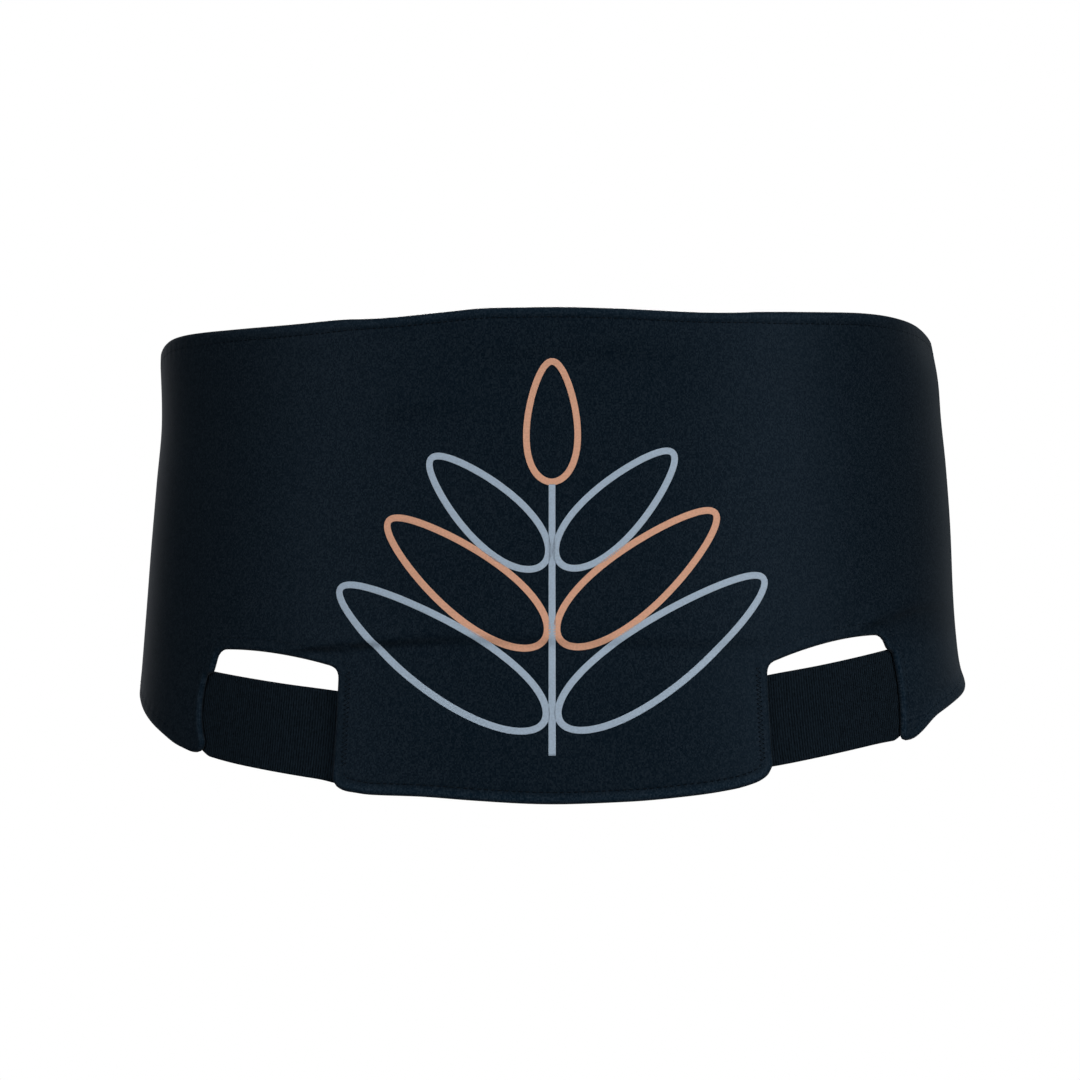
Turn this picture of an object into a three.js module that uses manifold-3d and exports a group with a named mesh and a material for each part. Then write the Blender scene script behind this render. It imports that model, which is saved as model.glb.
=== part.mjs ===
// Kidney belt, as worn: a softshell waist belt with a tail at the back, a notch on each side of the tail,
// an elastic band across each notch and overlapping front ends held by a hook patch.
// Units are millimetres. +Z is up, the back panel faces -Y and the wearer faces +Y.
// The origin is the centre of the waist loop.
import * as THREE from "three";
import { mergeVertices } from "three/addons/utils/BufferGeometryUtils.js";
import Module from "manifold-3d";

const wasm = await Module();
wasm.setup();

// Main sizes
const WALL = 3;
const ELASTIC_THICK = 1.6;
const SEWN_GAP = 0.3;
const PATCH_THICK = 2.2;
const FRONT_OVERLAP = 90;
const END_ROUND = 14;
const WORN_TILT = 0.0236;
const OVAL_POWER = 2.3;

// The waist oval at each height: half its width and half its depth, to the outer face of the wall.
const SECTIONS = [
  { height: -125, width: 198.0, depth: 134.0 },
  { height: -90, width: 194.5, depth: 130.0 },
  { height: -60, width: 191.2, depth: 126.5 },
  { height: -30, width: 188.8, depth: 123.5 },
  { height: 0, width: 186.7, depth: 121.0 },
  { height: 30, width: 184.2, depth: 119.0 },
  { height: 60, width: 181.6, depth: 118.0 },
  { height: 100, width: 181.2, depth: 118.0 },
  { height: 120, width: 181.5, depth: 118.5 },
];

// The flat pattern of one half: arc is the distance round the waist from the middle of the back, top and bottom
// are the edges, and fold is the line where the worn cloth breaks from the waist to the hip.
const PATTERN = [
  { arc: 0, top: 100.6, fold: -43.3, bottom: -112.4 },
  { arc: 30, top: 99.8, fold: -43.3, bottom: -111.2 },
  { arc: 50, top: 98.6, fold: -43.6, bottom: -109.8 },
  { arc: 72, top: 97.3, fold: -45.4, bottom: -108.4 },
  { arc: 81, top: 97.1, fold: -46.4, bottom: -106.4 },
  { arc: 87, top: 97.1, fold: -47.0, bottom: -103.2 },
  { arc: 91, top: 97.2, fold: -47.0, bottom: -98.0 },
  { arc: 140, top: 96.7, fold: -40.0, bottom: -91.5 },
  { arc: 160, top: 96.2, fold: -38.2, bottom: -90.6 },
  { arc: 168, top: 95.9, fold: -37.4, bottom: -88.4 },
  { arc: 185, top: 94.9, fold: -35.4, bottom: -81.6 },
  { arc: 205, top: 93.2, fold: -33.0, bottom: -75.4 },
  { arc: 225, top: 90.6, fold: -29.0, bottom: -69.0 },
  { arc: 260, top: 85.8, fold: -22.0, bottom: -60.0 },
  { arc: 310, top: 79.0, fold: -12.0, bottom: -49.0 },
  { arc: 370, top: 73.0, fold: -2.0, bottom: -40.5 },
  { arc: 440, top: 69.0, fold: 6.0, bottom: -36.0 },
  { arc: 550, top: 68.0, fold: 10.0, bottom: -35.0 },
];

// Soft dents and swells of the worn cloth: where each is centred, how far it reaches, and how far it moves the
// cloth outwards and upwards.
const DRAPE = [
  { arc: 216, height: 97, arcReach: 42, heightReach: 20, push: -6.2, lift: 0 },
  { arc: 224, height: -76, arcReach: 24, heightReach: 8, push: 4.2, lift: 0 },
  { arc: 240, height: -42, arcReach: 60, heightReach: 36, push: -1.4, lift: 0 },
  { arc: -236, height: 86, arcReach: 40, heightReach: 14, push: 0.9, lift: 0 },
  { arc: -206, height: 94, arcReach: 36, heightReach: 20, push: 0, lift: 2.4 },
  { arc: -58, height: 98, arcReach: 40, heightReach: 40, push: 0, lift: 0.9 },
  { arc: 45, height: 98, arcReach: 40, heightReach: 40, push: 0, lift: -0.7 },
  { arc: -62, height: -110, arcReach: 34, heightReach: 24, push: 0, lift: 1.1 },
  { arc: 45, height: -110, arcReach: 34, heightReach: 24, push: 0, lift: -1.0 },
  { arc: 163, height: -90, arcReach: 14, heightReach: 16, push: 0, lift: -1.3 },
  { arc: -160, height: -90, arcReach: 14, heightReach: 16, push: 0, lift: 0.8 },
  { arc: -186, height: -82, arcReach: 24, heightReach: 16, push: 0, lift: -1.1 },
  { arc: 176, height: -85, arcReach: 10, heightReach: 14, push: 0, lift: 1.3 },
];

// The notch on each side of the tail: side is -1 for the left of the back and 1 for the right, inner and outer are
// its sides along the arc, and its arched top rises from innerTop to outerTop.
const NOTCHES = [
  { side: -1, inner: 90.0, outer: 151.6, innerTop: -53.0, outerTop: -44.7 },
  { side: 1, inner: 91.2, outer: 151.0, innerTop: -55.2, outerTop: -45.0 },
];
const NOTCH_ROUND = 5.2;
const NOTCH_FLARE = 1.8;

// The wing's edge over the elastic steps back from the notch at the band's top and runs down in a shallow curve:
// back, bulge and tip are how far it lies from the notch's outer side at its top, at its curve's lead and at its foot.
const WING_SEAMS = [
  { side: -1, top: -55, back: 5.4, bulge: 10.0, tip: 2.5 },
  { side: 1, top: -52, back: 4.7, bulge: 8.2, tip: 5.3 },
];
const SEAM_STEP = 1;
const SEAM_LEAD = -72;
const SEAM_FOOT = -88;

// The elastic bands: inner and outer are the ends tucked behind the tail and the wing. Each band narrows a little
// towards the wing, and its hidden end is tucked up so that it stays above the wing's bottom edge.
const ELASTICS = [
  { name: "elastic_left", side: -1, inner: 83, outer: 163, innerTop: -63.9, outerTop: -53.2, narrowing: 1.7 },
  { name: "elastic_right", side: 1, inner: 83, outer: 163, innerTop: -61.6, outerTop: -50.3, narrowing: 0.6 },
];
const ELASTIC_TALL = 38.5;
const ELASTIC_TUCK = 2;

// Reads one column of a table at any arc or height, easing smoothly from row to row.
function readTable(table, key, column, at) {
  const last = table.length - 1;
  const place = Math.min(Math.max(at, table[0][key]), table[last][key]);
  let row = 0;
  while (row < last - 1 && place > table[row + 1][key]) {
    row += 1;
  }
  const slopeBetween = (k) =>
    (table[k + 1][column] - table[k][column]) / (table[k + 1][key] - table[k][key]);
  const slopeAt = (k) => {
    if (k === 0 || k === last) {
      return 0;
    }
    const before = slopeBetween(k - 1);
    const after = slopeBetween(k);
    return before * after > 0 ? (2 * before * after) / (before + after) : 0;
  };
  const span = table[row + 1][key] - table[row][key];
  const t = (place - table[row][key]) / span;
  return (
    table[row][column] * (2 * t ** 3 - 3 * t ** 2 + 1) +
    slopeAt(row) * span * (t ** 3 - 2 * t ** 2 + t) +
    table[row + 1][column] * (3 * t ** 2 - 2 * t ** 3) +
    slopeAt(row + 1) * span * (t ** 3 - t ** 2)
  );
}

// A point of the waist oval at an angle from the middle of the back.
function ovalPoint(angle, height) {
  const width = readTable(SECTIONS, "height", "width", height);
  const depth = readTable(SECTIONS, "height", "depth", height);
  const across = (Math.abs(Math.sin(angle)) / width) ** OVAL_POWER;
  const along = (Math.abs(Math.cos(angle)) / depth) ** OVAL_POWER;
  const radius = (across + along) ** (-1 / OVAL_POWER);
  return new THREE.Vector2(radius * Math.sin(angle), -radius * Math.cos(angle));
}

// Angles at even steps and the arc walked to each, at the height of the origin.
const ANGLE_STEP = Math.PI / 720;
const walked = [0];
for (let step = 1; step <= 900; step += 1) {
  const from = ovalPoint((step - 1) * ANGLE_STEP, 0);
  const to = ovalPoint(step * ANGLE_STEP, 0);
  walked.push(walked[step - 1] + from.distanceTo(to));
}
const HALF_LOOP = walked[720];
const END_ARC = HALF_LOOP + FRONT_OVERLAP / 2;

function angleAtArc(arc) {
  const goal = Math.abs(arc);
  let step = 0;
  while (step < walked.length - 2 && walked[step + 1] < goal) {
    step += 1;
  }
  const part = (goal - walked[step]) / (walked[step + 1] - walked[step]);
  return Math.sign(arc) * (step + part) * ANGLE_STEP;
}

// The front ends pass each other: the right end rides outside the hook patch and the left end inside it.
const LAP = (WALL + PATCH_THICK + 2 * SEWN_GAP) / 2;
function lapShift(arc) {
  const ramp = THREE.MathUtils.smoothstep(Math.abs(arc), HALF_LOOP - 120, HALF_LOOP - 55);
  return Math.sign(arc) * LAP * ramp;
}

function drapeAt(arc, height) {
  const move = { push: 0, lift: 0 };
  for (const dent of DRAPE) {
    const along = (arc - dent.arc) / dent.arcReach;
    const up = (height - dent.height) / dent.heightReach;
    const share = Math.exp(-along * along - up * up);
    move.push += dent.push * share;
    move.lift += dent.lift * share;
  }
  return move;
}

// The valley along the fold line, deepest across the tail.
const VALLEY_DEPTH = 1.2;
const VALLEY_REACH = 9;
function valleyPush(arc, height) {
  const off = (height - readTable(PATTERN, "arc", "fold", Math.abs(arc))) / VALLEY_REACH;
  const fade = 1 - THREE.MathUtils.smoothstep(Math.abs(arc), 90, 210);
  return -VALLEY_DEPTH * fade * Math.exp(-off * off);
}

// A point on the outer face, then the same moved along the face's normal by a distance.
function facePoint(arc, height) {
  const angle = angleAtArc(arc);
  const flat = ovalPoint(angle, height);
  const drape = drapeAt(arc, height);
  const grow = 1 + (drape.push + valleyPush(arc, height)) / flat.length();
  const tilt = WORN_TILT * ovalPoint(angle, 0).x;
  return new THREE.Vector3(flat.x * grow, flat.y * grow, height + tilt + drape.lift);
}

function wornPoint(arc, height, out) {
  const along = facePoint(arc + 0.5, height).sub(facePoint(arc - 0.5, height));
  const up = facePoint(arc, height + 0.5).sub(facePoint(arc, height - 0.5));
  const normal = along.cross(up).normalize();
  return facePoint(arc, height).addScaledVector(normal, out);
}

// Bends a flat geometry round the waist: place turns each flat point into arc, height and distance out.
function wrap(flat, place) {
  flat.deleteAttribute("normal");
  flat.deleteAttribute("uv");
  const bent = mergeVertices(flat, 1e-4);
  const points = bent.getAttribute("position");
  for (let i = 0; i < points.count; i += 1) {
    const { arc, height, out } = place(points.getX(i), points.getY(i), points.getZ(i));
    const worn = wornPoint(arc, height, out);
    points.setXYZ(i, worn.x, worn.y, worn.z);
  }
  return bent;
}

function toSolid(geometry) {
  const vertProperties = new Float32Array(geometry.getAttribute("position").array);
  const triVerts = new Uint32Array(geometry.index.array);
  return new wasm.Manifold(new wasm.Mesh({ numProp: 3, vertProperties, triVerts }));
}

function toGeometry(solid) {
  const mesh = solid.getMesh();
  const geometry = new THREE.BufferGeometry();
  geometry.setAttribute("position", new THREE.Float32BufferAttribute(mesh.vertProperties, 3));
  geometry.setIndex(new THREE.Uint32BufferAttribute(mesh.triVerts, 1));
  return geometry;
}

// Rows of the wall: shares of the way from the bottom edge to the fold, then from the fold to the top edge.
const BELOW_FOLD = [0, 0.45, 0.85];
const ABOVE_FOLD = [0, 0.06, 0.3, 0.55, 0.8, 1];
const ROWS = BELOW_FOLD.length + ABOVE_FOLD.length - 1;
const COLUMNS = 128;

function rowHeight(arc, row) {
  const half = Math.abs(arc);
  const short = Math.max(0, END_ROUND - (END_ARC - half));
  const trim = END_ROUND - Math.sqrt(Math.max(0, END_ROUND ** 2 - short ** 2));
  const bottom = readTable(PATTERN, "arc", "bottom", half) + trim;
  const fold = readTable(PATTERN, "arc", "fold", half);
  const top = readTable(PATTERN, "arc", "top", half) - trim;
  if (row < BELOW_FOLD.length) {
    return bottom + (fold - bottom) * BELOW_FOLD[row];
  }
  return fold + (top - fold) * ABOVE_FOLD[row - BELOW_FOLD.length];
}

// Columns are closer together near the free ends, where the corners are round.
function columnArc(share) {
  const side = Math.abs(share);
  const eased = side < 0.9 ? side : 0.9 + 0.1 * Math.sin(((side - 0.9) / 0.1) * (Math.PI / 2));
  return Math.sign(share) * eased * END_ARC;
}

const flatWall = new THREE.BoxGeometry(2, ROWS, WALL, COLUMNS, ROWS, 1);
const uncutWall = wrap(flatWall, (x, y, z) => {
  const arc = columnArc(x);
  const row = Math.round(y + ROWS / 2);
  return { arc, height: rowHeight(arc, row), out: z - WALL / 2 + lapShift(arc) };
});

// The notch outline on the flat: up the tail side, a round corner, along the arched top, and down the wing's seam.
function notchCutter({ side, inner, outer, innerTop, outerTop }) {
  const round = NOTCH_ROUND;
  const seam = WING_SEAMS.find((row) => row.side === side);
  const low = -130;
  const outline = new THREE.Shape();
  outline.moveTo(inner, low);
  outline.lineTo(inner, innerTop - round);
  outline.quadraticCurveTo(inner, innerTop, inner + round, innerTop + 1.2);
  outline.quadraticCurveTo((inner + outer) / 2, outerTop, outer - round, outerTop);
  outline.quadraticCurveTo(outer, outerTop, outer + 0.6, outerTop - round);
  outline.lineTo(outer + NOTCH_FLARE, seam.top + SEAM_STEP);
  outline.lineTo(outer + seam.back, seam.top);
  outline.quadraticCurveTo(outer + seam.bulge, SEAM_LEAD, outer + seam.tip, SEAM_FOOT);
  outline.lineTo(outer + seam.tip, low);
  const block = new THREE.ExtrudeGeometry(outline, {
    depth: WALL + 12,
    steps: 1,
    curveSegments: 8,
    bevelEnabled: false,
  });
  if (side < 0) {
    block.scale(-1, 1, 1);
    flipFaces(block);
  }
  return toSolid(wrap(block, (x, y, z) => ({ arc: x, height: y, out: z - WALL - 6 })));
}

function flipFaces(geometry) {
  const points = geometry.getAttribute("position");
  const hold = new THREE.Vector3();
  for (let i = 0; i < points.count; i += 3) {
    hold.fromBufferAttribute(points, i);
    points.setXYZ(i, points.getX(i + 1), points.getY(i + 1), points.getZ(i + 1));
    points.setXYZ(i + 1, hold.x, hold.y, hold.z);
  }
}

// An elastic band lies just inside the wall, from under the tail to under the wing.
function elasticBand({ side, inner, outer, innerTop, outerTop, narrowing }) {
  const flat = new THREE.BoxGeometry(1, 1, ELASTIC_THICK, 10, 4, 1);
  return wrap(flat, (x, y, z) => {
    const share = 0.5 + side * x;
    const arc = side * THREE.MathUtils.lerp(inner, outer, share);
    const top = THREE.MathUtils.lerp(innerTop, outerTop, share);
    const tall = ELASTIC_TALL - narrowing * share - ELASTIC_TUCK * THREE.MathUtils.smoothstep(share, 0.9, 1);
    const out = z - ELASTIC_THICK / 2 - WALL - SEWN_GAP;
    return { arc, height: top - tall * (0.5 - y), out };
  });
}

// The hook patch fills the space between the two front ends.
const PATCH = { length: 66, bottom: -22, top: 55 };
function hookPatch() {
  const flat = new THREE.BoxGeometry(PATCH.length, 1, PATCH_THICK, 8, 4, 1);
  return wrap(flat, (x, y, z) => {
    const height = THREE.MathUtils.lerp(PATCH.bottom, PATCH.top, y + 0.5);
    return { arc: HALF_LOOP + x, height, out: z - WALL / 2 };
  });
}

const navyCloth = { color: 0x10181f, roughness: 0.8, metalness: 0 };
const darkElastic = { color: 0x0d1318, roughness: 0.85, metalness: 0 };
const blackPatch = { color: 0x0b0d10, roughness: 0.9, metalness: 0 };

const group = new THREE.Group();
group.name = "kidney_belt";

function addPiece(name, geometry, finish) {
  const piece = new THREE.Mesh(geometry, new THREE.MeshStandardMaterial(finish));
  piece.name = name;
  group.add(piece);
}

let wall = toSolid(uncutWall);
for (const notch of NOTCHES) {
  wall = wall.subtract(notchCutter(notch));
}
addPiece("belt_body", toGeometry(wall), navyCloth);
for (const band of ELASTICS) {
  addPiece(band.name, elasticBand(band), darkElastic);
}
addPiece("hook_patch", hookPatch(), blackPatch);

export default group;
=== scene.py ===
# %% [markdown]
# # A kidney belt, cut flat and worn round
# A kidney belt is a broad waist belt that keeps the lower back warm and held. This one is a single
# softshell wall with a tail at the back, a notch on each side of the tail, an elastic band across each
# notch and two ends that overlap at the front. The lesson follows the way a maker works: cut the cloth
# flat, hem it, sew it, print it, and then wrap it round the waist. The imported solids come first, because
# every piece takes its place from them.

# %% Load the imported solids
import math
from collections import namedtuple

import bpy
import numpy as np
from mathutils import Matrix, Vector
from mathutils.geometry import delaunay_2d_cdt
from mathutils.kdtree import KDTree


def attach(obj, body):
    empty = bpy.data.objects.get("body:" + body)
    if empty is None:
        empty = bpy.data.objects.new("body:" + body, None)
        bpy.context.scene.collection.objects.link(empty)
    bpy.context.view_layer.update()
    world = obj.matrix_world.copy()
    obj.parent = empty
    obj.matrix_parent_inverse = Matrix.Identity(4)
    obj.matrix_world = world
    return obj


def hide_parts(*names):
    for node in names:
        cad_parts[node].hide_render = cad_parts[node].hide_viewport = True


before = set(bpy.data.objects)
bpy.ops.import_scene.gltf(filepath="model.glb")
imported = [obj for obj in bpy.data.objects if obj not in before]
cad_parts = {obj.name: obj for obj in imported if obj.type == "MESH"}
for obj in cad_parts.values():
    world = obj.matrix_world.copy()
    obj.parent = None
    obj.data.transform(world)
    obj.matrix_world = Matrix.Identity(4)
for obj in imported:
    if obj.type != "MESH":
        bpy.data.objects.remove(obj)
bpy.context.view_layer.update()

print("packed nodes:", sorted(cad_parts))

# %% [markdown]
# ## The camera
# The belt was seen level, from behind, with a long lens. A long lens keeps the sides from looking pinched.
# The lens could be set by eye, but a focal length in pixels gives the millimetres of the lens at once, for
# any sensor. The picture is square, and the belt's own axis stands a little to the right of its middle.

# %% Camera at the photograph's angle
PICTURE_SIDE = 1080
FOCAL_PIXELS = 3000
BELT_AXIS_PIXEL = 551
SENSOR_WIDTH = 36.0
CAMERA_AWAY = 1.410

camera_data = bpy.data.cameras.new("back_camera")
camera_data.sensor_width = SENSOR_WIDTH
camera_data.lens = FOCAL_PIXELS * SENSOR_WIDTH / PICTURE_SIDE
camera = bpy.data.objects.new("back_camera", camera_data)
camera_side = (PICTURE_SIDE / 2 - BELT_AXIS_PIXEL) / FOCAL_PIXELS * CAMERA_AWAY
camera.location = (camera_side, -CAMERA_AWAY, 0)
camera.rotation_euler = (math.pi / 2, 0, 0)
scene = bpy.context.scene
scene.collection.objects.link(camera)
scene.camera = camera
print("lens, millimetres:", camera_data.lens)

# %% [markdown]
# ## A white room
# The belt hangs at waist height in a white studio, so the floor is a metre below it and throws no shadow on
# it. The room could be a big white box, but its walls would flood the dark cloth with light. A world that
# is white only where the camera looks straight at it, and dim for every other ray, keeps the cloth dark and
# the background clean. The floor fades into that white at its rim, so that no edge of it shows, and it
# throws no light back at the cloth.

# %% World and floor
ROOM_GLOW = 0.01
WAIST_HEIGHT = 1.05
FLOOR_RADIUS = 2.4
FLOOR_SIDES = 96
FLOOR_FADE = (0.2, 0.95)
FLOOR_GLOW = 0.6
WHITE = (1, 1, 1, 1)
PALE_PAINT = (0.9, 0.9, 0.9, 1)


def node_after(tree, kind, **values):
    """Add a node, then set its properties and its inputs by name."""
    node = tree.nodes.new(kind)
    for name, value in values.items():
        socket = node.inputs.get(name.replace("_", " "))
        if socket is not None:
            socket.default_value = value
        else:
            setattr(node, name, value)
    return node


def mix_shaders(tree, share, first, second, output):
    """Blend two shaders by a share, and send the blend to the output."""
    blend = node_after(tree, "ShaderNodeMixShader")
    out = node_after(tree, output)
    for number, source in enumerate((share, first.outputs[0], second.outputs[0])):
        tree.links.new(source, blend.inputs[number])
    tree.links.new(blend.outputs[0], out.inputs[0])


def light_the_world():
    world = bpy.data.worlds.new("white_room")
    world.use_nodes = True
    scene.world = world
    tree = world.node_tree
    tree.nodes.clear()
    ray = node_after(tree, "ShaderNodeLightPath")
    dim = node_after(tree, "ShaderNodeBackground", Color=WHITE, Strength=ROOM_GLOW)
    white = node_after(tree, "ShaderNodeBackground", Color=WHITE, Strength=1.0)
    mix_shaders(tree, ray.outputs["Is Camera Ray"], dim, white, "ShaderNodeOutputWorld")


def pale_floor_finish():
    finish = bpy.data.materials.new("pale_floor")
    finish.use_nodes = True
    tree = finish.node_tree
    tree.nodes.clear()
    place = node_after(tree, "ShaderNodeTexCoord")
    reach = node_after(tree, "ShaderNodeVectorMath", operation="LENGTH")
    fade = node_after(tree, "ShaderNodeMapRange", interpolation_type="SMOOTHSTEP", To_Min=FLOOR_GLOW)
    fade.inputs["From Min"].default_value = FLOOR_RADIUS * FLOOR_FADE[0]
    fade.inputs["From Max"].default_value = FLOOR_RADIUS * FLOOR_FADE[1]
    paint = node_after(tree, "ShaderNodeBsdfDiffuse", Color=PALE_PAINT)
    glow = node_after(tree, "ShaderNodeEmission", Color=WHITE, Strength=1.0)
    tree.links.new(place.outputs["Object"], reach.inputs[0])
    tree.links.new(reach.outputs["Value"], fade.inputs["Value"])
    mix_shaders(tree, fade.outputs["Result"], paint, glow, "ShaderNodeOutputMaterial")
    return finish


def lay_floor():
    turn = np.linspace(0, 2 * math.pi, FLOOR_SIDES, endpoint=False)
    rim = [(FLOOR_RADIUS * math.cos(a), FLOOR_RADIUS * math.sin(a), 0) for a in turn]
    mesh = bpy.data.meshes.new("floor")
    mesh.from_pydata(rim, [], [list(range(len(rim)))])
    mesh.materials.append(pale_floor_finish())
    floor = bpy.data.objects.new("floor", mesh)
    floor.location = (0, 0, -WAIST_HEIGHT)
    floor.visible_diffuse = False
    floor.visible_glossy = False
    scene.collection.objects.link(floor)


light_the_world()
lay_floor()
scene.view_settings.view_transform = "Standard"
print("floor below the belt, metres:", WAIST_HEIGHT)

# %% [markdown]
# ## Studio light
# Two tall soft boxes stand low to the left and right behind the wearer, and each draws a soft bright band
# where the cloth turns towards the side. The right one is the stronger. A box overhead shades the folds, so
# that one which hangs over looks darker below its edge. A weak fill beside the camera lifts the middle, and
# two faint boxes on the far side put a thin rim on the outline. One more lights the front of the belt,
# straight from the far side, where it can't spill onto the back. A table of boxes is easier to balance than
# separate lamps.

# %% Soft boxes
WHITE_LIGHT = (1, 1, 1)
BLUISH_LIGHT = (0.8, 0.91, 1)
PALE_LIGHT = (0.9, 0.92, 1)
SoftBox = namedtuple("SoftBox", "name bearing height away width tall watts tint")
SOFT_BOXES = [
    SoftBox("right_box", 41, 0.45, 2.2, 0.9, 1.5, 22.5, WHITE_LIGHT),
    SoftBox("left_box", -40, 0.45, 2.2, 0.9, 1.5, 12.5, WHITE_LIGHT),
    SoftBox("camera_fill", 0, 0.4, 2.3, 0.9, 0.9, 3.0, WHITE_LIGHT),
    SoftBox("overhead", 4, 2.1, 1.5, 1.0, 1.0, 8.5, WHITE_LIGHT),
    SoftBox("right_rim", 135, 0.1, 2.2, 1.5, 1.6, 1.35, BLUISH_LIGHT),
    SoftBox("left_rim", -149, 0.1, 2.2, 1.2, 1.6, 1.8, PALE_LIGHT),
    SoftBox("far_side", 180, 0.5, 2.2, 0.6, 1.2, 38, WHITE_LIGHT),
]
for box in SOFT_BOXES:
    lamp = bpy.data.lights.new(box.name, "AREA")
    lamp.shape = "RECTANGLE"
    lamp.size = box.width
    lamp.size_y = box.tall
    lamp.energy = box.watts
    lamp.color = box.tint
    stand = bpy.data.objects.new(box.name, lamp)
    bearing = math.radians(box.bearing)
    stand.location = (box.away * math.sin(bearing), -box.away * math.cos(bearing), box.height)
    stand.rotation_euler = (-stand.location).to_track_quat("-Z", "Y").to_euler()
    stand.visible_camera = False
    scene.collection.objects.link(stand)
print("soft boxes:", len(SOFT_BOXES))

# %% [markdown]
# ## The belt's sizes
# A worn belt is a flat pattern bent round an oval. So its shape needs three short tables: the oval at each
# height, the edges of the flat pattern along the waist, and the soft dents of the cloth. Distances along
# the waist are called arc and start at the middle of the back, with plus to the right. The tables hold
# millimetres, as a pattern maker would, and points turn into metres only when a mesh is made.

# %% Sizes and tables in millimetres
MM = 0.001
WALL = 3.0
ELASTIC_THICK = 1.6
PATCH_THICK = 2.2
SEWN_GAP = 0.3
FRONT_OVERLAP = 90
END_ROUND = 14
WORN_TILT = 0.0236
OVAL_POWER = 2.3

Section = namedtuple("Section", "height width depth")
WAIST = [
    Section(-125, 198.0, 134.0),
    Section(-90, 194.5, 130.0),
    Section(-60, 191.2, 126.5),
    Section(-30, 188.8, 123.5),
    Section(0, 186.7, 121.0),
    Section(30, 184.2, 119.0),
    Section(60, 181.6, 118.0),
    Section(100, 181.2, 118.0),
    Section(120, 181.5, 118.5),
]

Cut = namedtuple("Cut", "arc top fold bottom")
PATTERN = [
    Cut(0, 100.6, -43.3, -112.4),
    Cut(30, 99.8, -43.3, -111.2),
    Cut(50, 98.6, -43.6, -109.8),
    Cut(72, 97.3, -45.4, -108.4),
    Cut(81, 97.1, -46.4, -106.4),
    Cut(87, 97.1, -47.0, -103.2),
    Cut(91, 97.2, -47.0, -98.0),
    Cut(140, 96.7, -40.0, -91.5),
    Cut(160, 96.2, -38.2, -90.6),
    Cut(168, 95.9, -37.4, -88.4),
    Cut(185, 94.9, -35.4, -81.6),
    Cut(205, 93.2, -33.0, -75.4),
    Cut(225, 90.6, -29.0, -69.0),
    Cut(260, 85.8, -22.0, -60.0),
    Cut(310, 79.0, -12.0, -49.0),
    Cut(370, 73.0, -2.0, -40.5),
    Cut(440, 69.0, 6.0, -36.0),
    Cut(550, 68.0, 10.0, -35.0),
]

Dent = namedtuple("Dent", "arc height arc_reach height_reach push lift")
DRAPE = [
    Dent(216, 97, 42, 20, -6.2, 0),
    Dent(224, -76, 24, 8, 4.2, 0),
    Dent(240, -42, 60, 36, -1.4, 0),
    Dent(-236, 86, 40, 14, 0.9, 0),
    Dent(-206, 94, 36, 20, 0, 2.4),
    Dent(-58, 98, 40, 40, 0, 0.9),
    Dent(45, 98, 40, 40, 0, -0.7),
    Dent(-96, 98, 16, 30, 0, 0.5),
    Dent(-30, 98, 14, 30, 0, 0.45),
    Dent(150, 98, 24, 30, 0, 0.5),
    Dent(76, -108, 14, 20, 0, 0.7),
    Dent(-54, -110, 34, 24, 0, 1.4),
    Dent(45, -110, 34, 24, 0, -1.2),
    Dent(-87, -106, 6, 10, 0, -1.1),
    Dent(98, -78, 13, 26, -1.3, 0),
    Dent(-98, -78, 13, 26, -0.9, 0),
    Dent(163, -90, 14, 16, 0, -1.3),
    Dent(-160, -90, 14, 16, 0, 0.8),
    Dent(-186, -82, 24, 16, 0, -1.1),
    Dent(176, -85, 10, 14, 0, 1.3),
]
print("table rows:", len(WAIST), len(PATTERN), len(DRAPE))

# %% [markdown]
# ## Bending flat cloth round the waist
# Blender could bend the cloth with a curve modifier, but the oval grows towards the hips and the cloth has
# dents, so a function does it instead. It takes arc, height and distance out from the face, and gives a
# point in the room. It works on whole arrays at once, which makes a hundred thousand points quick.

# %% From the flat pattern to the worn place
VALLEY_DEPTH = 0.5
VALLEY_REACH = 9
VALLEY_FADE = (90, 210)
NORMAL_STEP = 0.5
LAP_RUN = (120, 55)
LAP = (WALL + PATCH_THICK + 2 * SEWN_GAP) / 2


def ease(value, low, high):
    """Rise smoothly from 0 at low to 1 at high."""
    share = np.clip((value - low) / (high - low), 0, 1)
    return share * share * (3 - 2 * share)


def read_table(rows, key, column, at):
    """Read one column of a table, easing smoothly from row to row."""
    x = np.array([getattr(row, key) for row in rows], float)
    y = np.array([getattr(row, column) for row in rows], float)
    slope = np.diff(y) / np.diff(x)
    same_way = slope[:-1] * slope[1:] > 0
    lean = np.zeros(len(x))
    total = np.where(same_way, slope[:-1] + slope[1:], 1)
    lean[1:-1] = np.where(same_way, 2 * slope[:-1] * slope[1:] / total, 0)
    place = np.clip(at, x[0], x[-1])
    row = np.clip(np.searchsorted(x, place) - 1, 0, len(x) - 2)
    span = x[row + 1] - x[row]
    t = (place - x[row]) / span
    start = y[row] * (2 * t**3 - 3 * t**2 + 1) + lean[row] * span * (t**3 - 2 * t**2 + t)
    end = y[row + 1] * (3 * t**2 - 2 * t**3) + lean[row + 1] * span * (t**3 - t**2)
    return start + end


def oval_point(angle, height):
    width = read_table(WAIST, "height", "width", height)
    depth = read_table(WAIST, "height", "depth", height)
    across = (np.abs(np.sin(angle)) / width) ** OVAL_POWER
    along = (np.abs(np.cos(angle)) / depth) ** OVAL_POWER
    radius = (across + along) ** (-1 / OVAL_POWER)
    return radius * np.sin(angle), -radius * np.cos(angle)


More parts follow.
